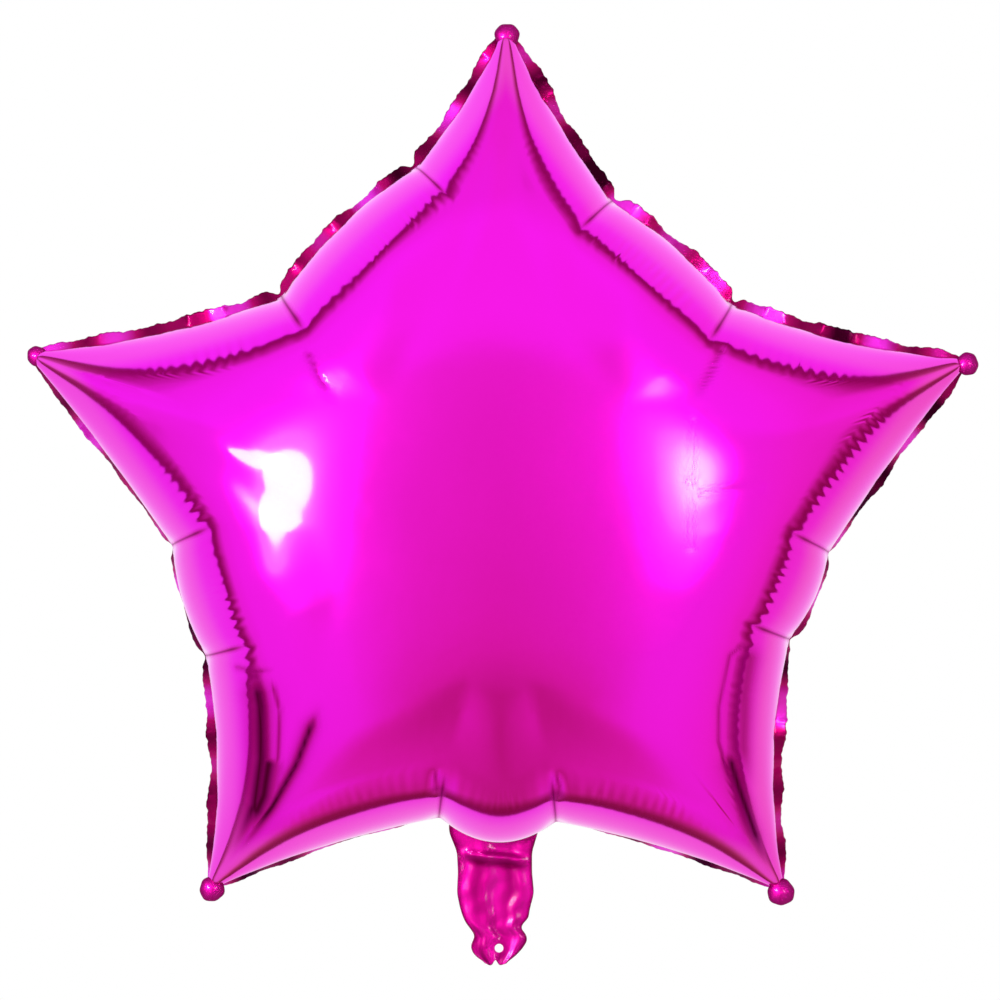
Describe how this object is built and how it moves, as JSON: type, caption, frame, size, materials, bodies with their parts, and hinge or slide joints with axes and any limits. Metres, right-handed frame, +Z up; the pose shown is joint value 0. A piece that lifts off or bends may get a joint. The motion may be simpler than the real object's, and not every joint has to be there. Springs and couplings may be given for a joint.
{
  "type": "star foil balloon",
  "caption": "Blown-up metallised foil star with rounded legs, gathered seams, a ruffled sealed edge and a crinkled tail with a tie hole.",
  "frame": {"origin": "centre of the tie hole in the end of the tail", "axes": "+Z up through the top point of the star, +Y from the front sheet to the back sheet through the tie hole, +X to the right seen from the front"},
  "size_m": [0.4582, 0.165, 0.455],
  "materials": {
    "foil": "polished"
  },
  "bodies": {
    "root": {"star_balloon": "foil"}
  },
  "joints": []
}
